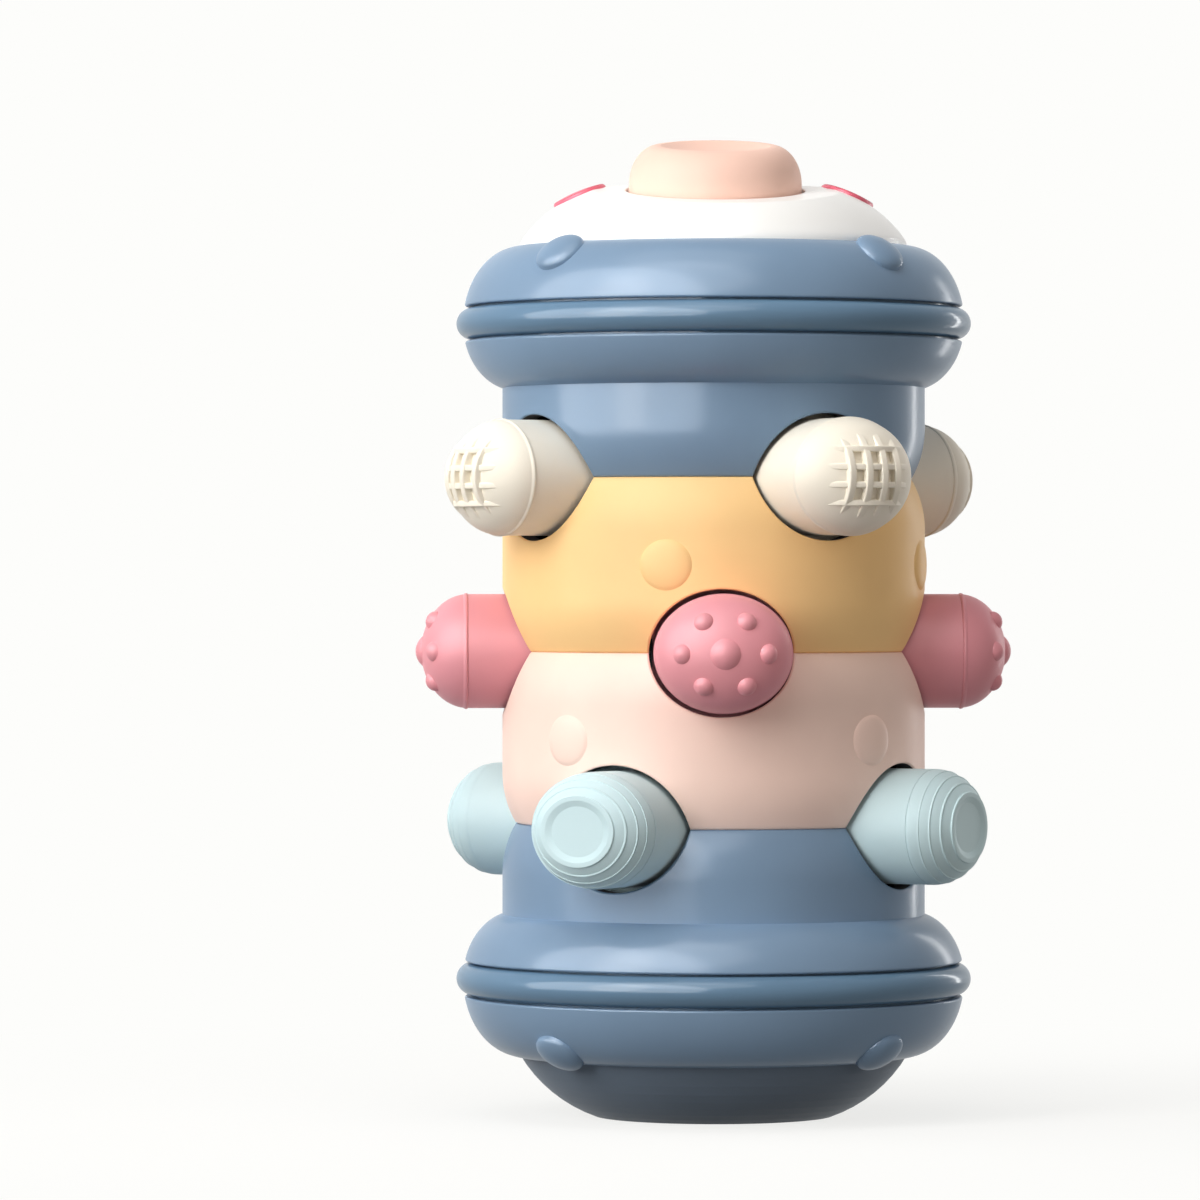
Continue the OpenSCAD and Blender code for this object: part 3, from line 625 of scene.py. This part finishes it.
def dome():
    """The domed cover between the level ring of the collar and the leaning hole of the button."""
    skirt_low = MID_Z + RING_OFFSET + COLLAR_RISE - LEDGE_DROP - DOME_Z
    skirt_in = DOME_RIM_R - DOME_SKIRT
    under_r = DOME_R - DOME_SKIRT
    under_z = math.sqrt(under_r ** 2 - skirt_in ** 2)
    lean = Matrix.Rotation(math.radians(LEAN), 4, "X")
    axis = lean @ Vector((0, 0, 1))
    hole_r, hole_low = BUTTON_R + BUTTON_GAP, LAND - DOME_WALL
    hole_steps, ball_steps, edge_steps, under_steps = 6, 60, 6, 8
    slope_r = DOME_RIM_R - DOME_EDGE * (SHOULDER_FOOT - SHOULDER_Z) / SHOULDER_R
    slope_z = SHOULDER_Z + math.sqrt(SHOULDER_R ** 2 - (slope_r - SHOULDER_AT) ** 2)
    columns = []
    for j in range(TURNS):
        a = 2 * math.pi * j / TURNS
        c, s = math.cos(a), math.sin(a)
        column = []
        for r, z in ((hole_r + 2.0, hole_low), (hole_r, hole_low)):
            column.append(lean @ Vector((r * c, r * s, z)))
        for k in range(hole_steps + 1):
            b = math.radians(QUARTER * k / hole_steps)
            r, z = hole_r + HOLE_ROUND * (1 - math.cos(b)), LAND - HOLE_ROUND * (1 - math.sin(b))
            column.append(lean @ Vector((r * c, r * s, z)))
        inner = lean @ Vector((LAND_R * c, LAND_R * s, LAND))
        outer = Vector((slope_r * c, slope_r * s, slope_z))
        for k in range(ball_steps + 1):
            way = inner.normalized().slerp(outer.normalized(), k / ball_steps)
            column.append(way * min(dome_reach(way), LAND / way.dot(axis)))
        corner = Vector((DOME_RIM_R * c, DOME_RIM_R * s, SHOULDER_FOOT))
        below = Vector((corner.x, corner.y, SHOULDER_FOOT - DOME_EDGE))
        for k in range(1, edge_steps + 1):
            u = k / edge_steps
            column.append(outer * (1 - u) ** 2 + corner * (2 * u * (1 - u)) + below * u ** 2)
        column.append(Vector((DOME_RIM_R * c, DOME_RIM_R * s, skirt_low)))
        column.append(Vector((skirt_in * c, skirt_in * s, skirt_low)))
        low = Vector((skirt_in * c, skirt_in * s, under_z))
        for k in range(under_steps + 1):
            column.append(low.normalized().slerp(inner.normalized(), k / under_steps) * under_r)
        columns.append([tuple(v) for v in column])
    rows = [[columns[j][i] for j in range(TURNS)] for i in range(len(columns[0]))]
    faces = grid(rows, closed_rows=True)
    return piece("dome_cover_shell", flat(rows), faces, [WHITE], "drum", "dome_cover",
                 place=on_dome, sharp=30.0)


dome()


def dome_pad(name, side):
    """An oval pad let into the dome, with a rounded edge."""
    tilt = Matrix.Rotation(math.radians(side * PAD_AT), 4, "Y")
    turns, rings, edge_steps, tries, soft = 128, 20, 6, 12, 0.5
    half_x, half_y = PAD_H / 2, PAD_W / 2
    rows = []

    def on_form(x, y, grow):
        height = DOME_R
        for _ in range(tries):
            spot = tilt @ Vector((x, y, height))
            height += dome_reach(spot.normalized(), grow) - spot.length
        return (x, y, height)

    def ring(inset, grow):
        row = []
        for j in range(turns):
            a = 2 * math.pi * j / turns
            row.append(on_form((half_x - inset) * math.cos(a), (half_y - inset) * math.sin(a), grow))
        return row

    for i in range(1, rings):
        rows.append(ring((half_x - soft) * (1 - i / rings), PAD_PROUD))
    for k in range(edge_steps + 1):
        b = math.radians(QUARTER * k / edge_steps)
        rows.append(ring(soft * (1 - math.sin(b)), PAD_PROUD - soft * (1 - math.cos(b))))
    rows.append(ring(0, -PAD_DEPTH))
    verts, faces = closed_ends(rows, on_form(0, 0, PAD_PROUD), on_form(0, 0, -PAD_DEPTH))
    return piece(name + "_skin", verts, faces, [ROSE], "drum", name, place=on_dome @ tilt)


dome_pad("dome_pad_left", -1)
dome_pad("dome_pad_right", 1)


def button():
    """Press button with a dished top; its flange stays under the dome."""
    top = LAND + BUTTON_H
    straight, dish_rim = 1.2, 0.6
    shoulder = BUTTON_H - straight
    width = BUTTON_R - DISH_R - dish_rim
    flange_top = LAND - DOME_WALL - FLANGE_GAP
    flange_low, flange_r = flange_top - FLANGE_T, BUTTON_R + FLANGE_W
    chain = [(0, flange_low), (flange_r, flange_low), (flange_r, flange_top), (BUTTON_R, flange_top)]
    outer = arc(BUTTON_R - width, top - shoulder, width, shoulder, 0, QUARTER, 36)
    chain += outer[:-1]
    ball = (DISH_R ** 2 + DISH_DEPTH ** 2) / (2 * DISH_DEPTH)
    crest = [(*outer[-1], 0.25), (DISH_R, top, 0.5)]
    dish, dish_steps = [], 12
    for i in range(dish_steps + 1):
        r = DISH_R * (1 - i / dish_steps)
        dish.append((r, top - DISH_DEPTH + ball - math.sqrt(ball ** 2 - r ** 2)))
    chain += rounded([outer[-2]] + crest + dish[1:], 6)[1:]
    verts, faces = closed_ends(turned(chain[1:-1]), (0, 0, chain[0][1]), (0, 0, chain[-1][1]))
    return piece("button_cap_body", verts, faces, [BUTTON], "button", "button_cap",
                 place=on_lean, sharp=50.0)


button()


# Solids that are shown as they are

for name, obj in nodes.items():
    if name.endswith("_screws"):
        material = STEEL
    elif name in ("core_post", "crown_plate"):
        material = INNER
    elif name == "foot_cap":
        material = SLATE
    elif "_peg_" in name:
        material = PEG_MATERIAL[name.split("_")[0]]
    else:
        continue
    obj.data.materials.clear()
    obj.data.materials.append(material)
    obj.data.shade_smooth()
    obj.data.set_sharp_from_angle(angle=math.radians(30))


# Springs

def spring(name, place, coil_r, wire, turns, low, high):
    """A coil along X of its place, from low to high, with closer turns at its two ends."""
    steps, sides, end_share = turns * 24, 10, 0.7
    rows = []
    for i in range(steps + 1):
        u = i / steps
        a = 2 * math.pi * u
        x = low + wire / 2 + (high - low - wire) * (u - end_share * math.sin(a) / (2 * math.pi))
        row = []
        for k in range(sides):
            b = 2 * math.pi * k / sides
            r = coil_r + wire / 2 * math.cos(b)
            row.append((x + wire / 2 * math.sin(b), r * math.cos(turns * a), r * math.sin(turns * a)))
        rows.append(row)
    faces = grid(rows)
    faces.append(tuple(range(sides)))
    faces.append(tuple(range(steps * sides, (steps + 1) * sides)))
    obj = piece(f"{name}_coil", flat(rows), faces, [STEEL], "drum", name, place=place)
    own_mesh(obj)


for row, colour in enumerate(ROWS):
    for i in range(PEGS_IN_ROW):
        name = f"{colour}_peg_{i + 1}"
        spring(f"{name}_spring", peg_place(row, i), PEG_COIL_R, PEG_WIRE, PEG_TURNS, PEG_SEAT, PEG_WEB)
under_button = on_lean @ Matrix.Rotation(math.radians(-QUARTER), 4, "Y")
spring("button_spring", under_button, BUTTON_COIL_R, BUTTON_WIRE, BUTTON_TURNS, BUTTON_SEAT, BUTTON_ROOF)


# Caps of the pegs

def dome_x(y, z):
    """Height of the plain dome of a cap along the axis of its peg."""
    return JOINT_X + PEG_DOME * math.sqrt(max(0, 1 - (2 * y / PEG_W) ** 2 - (2 * z / PEG_H) ** 2))


def oval_turned(profile):
    """An oval body along X from a chain of (x, share of the width), closed on the axis at both ends."""
    turns = 160
    rows = []
    for x, r in profile[1:-1]:
        row = []
        for j in range(turns):
            a = 2 * math.pi * j / turns
            row.append((x, r * PEG_W / 2 * math.cos(a), r * PEG_H / 2 * math.sin(a)))
        rows.append(row)
    return closed_ends(rows, (profile[0][0], 0, 0), (profile[-1][0], 0, 0))


# Seam bead of a cap, as height above the joint and how far it stands out
BEAD = ((0.08, 0.06), (0.2, 0.17), (0.38, 0.24), (0.56, 0.24), (0.74, 0.16), (0.88, 0.06), (0.98, -0.04))
PLUG_SHARE = 1 - 2 * PLUG_IN / PEG_H


def cap_base():
    """Plug, fine seam bead and plain dome of a cap."""
    half = PEG_W / 2
    foot, seam, steps = JOINT_X - PLUG_L, JOINT_X + CAP_GAP, 40
    chain = [(foot, 0), (foot, PLUG_SHARE), (seam, PLUG_SHARE), (seam, 1 - 0.15 / half)]
    for x, proud in BEAD:
        chain.append((JOINT_X + x, 1 + proud / half))
    chain.append((JOINT_X + 1.1, math.sqrt(1 - 0.11 ** 2)))
    first = math.degrees(math.acos(0.13))
    for i in range(steps):
        a = math.radians(first * (1 - i / steps))
        chain.append((JOINT_X + PEG_DOME * math.cos(a), math.sin(a)))
    chain.append((TIP_X, 0))
    return oval_turned(chain)


def rib(along_z, place, radius, top, width):
    """A thin rib whose arched top runs out under the dome at both ends."""
    depth, soft, steps, reach = 2.5, 0.28, 48, math.radians(58)
    half = width / 2
    section = rounded([(-half, -depth), (-half, 0, soft), (half, 0, soft), (half, -depth)], 4)
    rows = []
    for i in range(steps + 1):
        a = -reach + 2 * reach * i / steps
        row = []
        for across, rise in section:
            x = top - radius + (radius + rise) * math.cos(a)
            s = (radius + rise) * math.sin(a)
            row.append((x, place + across, s) if along_z else (x, s, place + across))
        rows.append(row)
    verts = flat(rows)
    faces = grid(rows)
    n = len(section)
    faces.append(tuple(range(n)))
    faces.append(tuple(range(steps * n, (steps + 1) * n)))
    return verts, faces


def sunk(verts):
    """The dome of a cap, let in a little between the outer ribs of the lattice."""
    edge, soft = 1.5 * LATTICE_PITCH, 0.35
    low = []
    for x, y, z in verts:
        share = 1.0 if x > JOINT_X + 2 else 0.0
        for across in (abs(y), abs(z)):
            share *= min(1.0, max(0.0, (edge + soft - across) / (2 * soft)))
        low.append((x - LATTICE_SINK * share, y, z))
    return low


def lattice():
    """Four upright and four level ribs, the outer ones shorter."""
    verts, faces = cap_base()
    parts = [(sunk(verts), faces)]
    for i in range(4):
        place = (i - 1.5) * LATTICE_PITCH
        share = OUTER_SHARE if i in (0, 3) else 1
        upright_r, level_r = share * UPRIGHT_SHARE * PEG_H / 2, share * PEG_W / 2
        parts.append(rib(True, place, upright_r, dome_x(place, 0) + RELIEF_H, UPRIGHT_W))
        parts.append(rib(False, place, level_r, dome_x(0, place) + RELIEF_H - LEVEL_DROP, LEVEL_W))
    return joined(parts)


def dots():
    """One larger dot in the middle and six round it on an oval."""
    parts = [cap_base()]
    places = [(0, 0, DOT_MID_R)]
    for i in range(6):
        a = 2 * math.pi * i / 6
        places.append((DOT_RING * math.cos(a), DOT_RING * math.sin(a) * PEG_H / PEG_W, DOT_R))
    for y, z, r in places:
        x = dome_x(y, z)
        out = Vector(((x - JOINT_X) / PEG_DOME ** 2, 4 * y / PEG_W ** 2, 4 * z / PEG_H ** 2)).normalized()
        place = at(x, y, z) @ Vector((1, 0, 0)).rotation_difference(out).to_matrix().to_4x4()
        parts.append(ball_bump(place, r, RELIEF_H, DOT_SINK))
    return joined(parts)


def rings():
    """Stepped rings up to a flat, dished disc."""
    half = PEG_W / 2
    plug = PLUG_SHARE * half
    foot, seam, steps = JOINT_X - PLUG_L, JOINT_X + CAP_GAP, 4
    chain = [(foot, 0), (foot, plug), (seam, plug), (seam, half - 0.08, 0.06)]
    before = 88.0
    for i in (3, 2, 1, 0):
        at_angle = DISC_EDGE + i * RING_STEP
        for k in range(steps):
            a = math.radians(before + (at_angle - before) * k / steps)
            chain.append((JOINT_X + PEG_DOME * math.cos(a), half * math.sin(a)))
        a = math.radians(at_angle)
        x, r = JOINT_X + PEG_DOME * math.cos(a), half * math.sin(a)
        chain += [(x, r, 0.18), (x + RING_RISE, r, 0.28)]
        before = math.degrees(math.acos((PEG_DOME * math.cos(a) + RING_RISE) / PEG_DOME))
    top = x + RING_RISE
    chain += [(top, r - 1.2, 0.6), (top - DISC_DISH, r - 2.6, 0.8), (top - DISC_DISH, 0)]
    chain = [(p[1], p[0], p[2]) if len(p) > 2 else (p[1], p[0]) for p in chain]
    profile = [(x, r / half) for r, x in rounded(chain, 5)]
    return oval_turned(profile)


RELIEFS = {"mint": rings(), "pink": dots(), "cream": lattice()}
for row, colour in enumerate(ROWS):
    for i in range(PEGS_IN_ROW):
        name = f"{colour}_peg_{i + 1}"
        verts, faces = RELIEFS[colour]
        piece(f"{name}_cap_skin", verts, faces, [PEG_MATERIAL[colour]], name, f"{name}_cap",
              place=peg_place(row, i), sharp=34.0)


# Floor, light and camera

PAPER_WHITE = linear(253, 253, 251)


def seen_rays(tree):
    """One for what the camera sees, directly or by gloss or through glass, and nought for light."""
    path = tree.nodes.new("ShaderNodeLightPath")
    camera_or_gloss = tree.nodes.new("ShaderNodeMath")
    camera_or_gloss.operation = "MAXIMUM"
    tree.links.new(path.outputs["Is Camera Ray"], camera_or_gloss.inputs[0])
    tree.links.new(path.outputs["Is Glossy Ray"], camera_or_gloss.inputs[1])
    seen = tree.nodes.new("ShaderNodeMath")
    seen.operation = "MAXIMUM"
    tree.links.new(camera_or_gloss.outputs[0], seen.inputs[0])
    tree.links.new(path.outputs["Is Transmission Ray"], seen.inputs[1])
    return seen.outputs[0]


def floor():
    """A pale floor that keeps a soft shadow near the toy and gives back little light."""
    mesh = bpy.data.meshes.new("studio_floor")
    far = 6.0
    corners = [(-far, -far, 0), (far, -far, 0), (far, far, 0), (-far, far, 0)]
    mesh.from_pydata(corners, [], [(0, 1, 2, 3)])
    obj = bpy.data.objects.new("studio_floor", mesh)
    bpy.context.scene.collection.objects.link(obj)
    m = bpy.data.materials.new("studio_floor")
    m.use_nodes = True
    t = m.node_tree
    t.nodes.clear()
    out = t.nodes.new("ShaderNodeOutputMaterial")
    paper = node(t, "ShaderNodeBsdfDiffuse", Color=(0.22, 0.22, 0.22, 1))
    sheet = node(t, "ShaderNodeBsdfDiffuse", Color=(0.94, 0.94, 0.93, 1))
    white = node(t, "ShaderNodeEmission", Color=PAPER_WHITE, Strength=1.0)
    place = t.nodes.new("ShaderNodeTexCoord")
    size = t.nodes.new("ShaderNodeVectorMath")
    size.operation = "LENGTH"
    fade = node(t, "ShaderNodeMapRange", From_Min=0.03, From_Max=0.3, To_Min=0.8, To_Max=1.0)
    fade.interpolation_type = "SMOOTHSTEP"
    soft = t.nodes.new("ShaderNodeMixShader")
    mix = t.nodes.new("ShaderNodeMixShader")
    link = t.links.new
    link(place.outputs["Object"], size.inputs[0])
    link(size.outputs["Value"], fade.inputs["Value"])
    link(fade.outputs["Result"], soft.inputs[0])
    link(sheet.outputs[0], soft.inputs[1])
    link(white.outputs[0], soft.inputs[2])
    link(seen_rays(t), mix.inputs[0])
    link(paper.outputs[0], mix.inputs[1])
    link(soft.outputs[0], mix.inputs[2])
    link(mix.outputs[0], out.inputs[0])
    mesh.materials.append(m)


floor()

world = bpy.data.worlds.new("studio")
bpy.context.scene.world = world
world.use_nodes = True
wt = world.node_tree
wt.nodes.clear()
w_out = wt.nodes.new("ShaderNodeOutputWorld")
w_white = node(wt, "ShaderNodeBackground", Color=PAPER_WHITE, Strength=1.0)
w_fill = node(wt, "ShaderNodeBackground", Color=(1.0, 0.98, 0.96, 1), Strength=0.27)
w_mix = wt.nodes.new("ShaderNodeMixShader")
wt.links.new(seen_rays(wt), w_mix.inputs[0])
wt.links.new(w_fill.outputs[0], w_mix.inputs[1])
wt.links.new(w_white.outputs[0], w_mix.inputs[2])
wt.links.new(w_mix.outputs[0], w_out.inputs[0])


def lamp(name, place, aim, size, size_y, power, colour=(1, 1, 1), matte=True, gloss=True):
    """A soft oval lamp, which can be kept to the matte light or to the gloss of what it lights."""
    light = bpy.data.lights.new(name, "AREA")
    light.shape = "ELLIPSE"
    light.size, light.size_y = size, size_y
    light.energy = power
    light.color = colour
    obj = bpy.data.objects.new(name, light)
    obj.location = place
    obj.rotation_euler = (Vector(aim) - Vector(place)).to_track_quat("-Z", "Y").to_euler()
    obj.visible_camera = False
    obj.visible_diffuse = matte
    obj.visible_glossy = gloss
    bpy.context.scene.collection.objects.link(obj)


lamp("key", (-0.82, -0.76, 0.56), (0, 0, 0.1), 0.55, 1.1, 12.3, (1.0, 0.98, 0.95))
lamp("left_sheen", (-0.77, -0.64, 0.45), (0, 0, 0.25), 2.0, 1.8, 106.0, matte=False)
lamp("front_sheen", (-0.22, -0.6, 0.78), (0, 0, 0.1), 1.0, 0.8, 10.0, matte=False)
lamp("right_fill", (0.85, -0.6, 0.25), (0, 0, 0.1), 0.8, 0.8, 1.8, (1.0, 0.87, 0.76), gloss=False)
lamp("top", (-0.15, -0.25, 1.1), (0, 0, 0.1), 0.8, 0.8, 4.4)
lamp("right_strip", (0.42, 0.42, 0.13), (0, 0, 0.11), 0.05, 0.5, 0.7)
lamp("left_back", (-0.75, 0.35, 0.35), (0, 0, 0.11), 0.5, 0.5, 1.8, gloss=False)

CAMERA_D, CAMERA_Z, CAMERA_TURN = 1.466, 0.1151, -2.3
LENS, FRAME_MM, FRAME_PX = 206.25, 36.0, 1200
AXIS_X, HORIZON_Y = 713.5, 575.0
focal_px = LENS / FRAME_MM * FRAME_PX
camera = bpy.data.cameras.new("camera")
camera.lens = LENS
camera.sensor_width = FRAME_MM
camera.clip_start, camera.clip_end = 0.05, 50
camera_obj = bpy.data.objects.new("camera", camera)
turn = math.radians(CAMERA_TURN)
camera_obj.location = (CAMERA_D * math.sin(turn), -CAMERA_D * math.cos(turn), CAMERA_Z)
yaw = math.atan((AXIS_X - FRAME_PX / 2) / focal_px)
pitch = math.atan((FRAME_PX / 2 - HORIZON_Y) / focal_px)
heading = -turn - yaw
aim = Vector((math.sin(heading), math.cos(heading), -math.tan(pitch)))
camera_obj.rotation_euler = aim.to_track_quat("-Z", "Y").to_euler()
bpy.context.scene.collection.objects.link(camera_obj)
bpy.context.scene.camera = camera_obj

bpy.context.scene.view_settings.view_transform = "Standard"
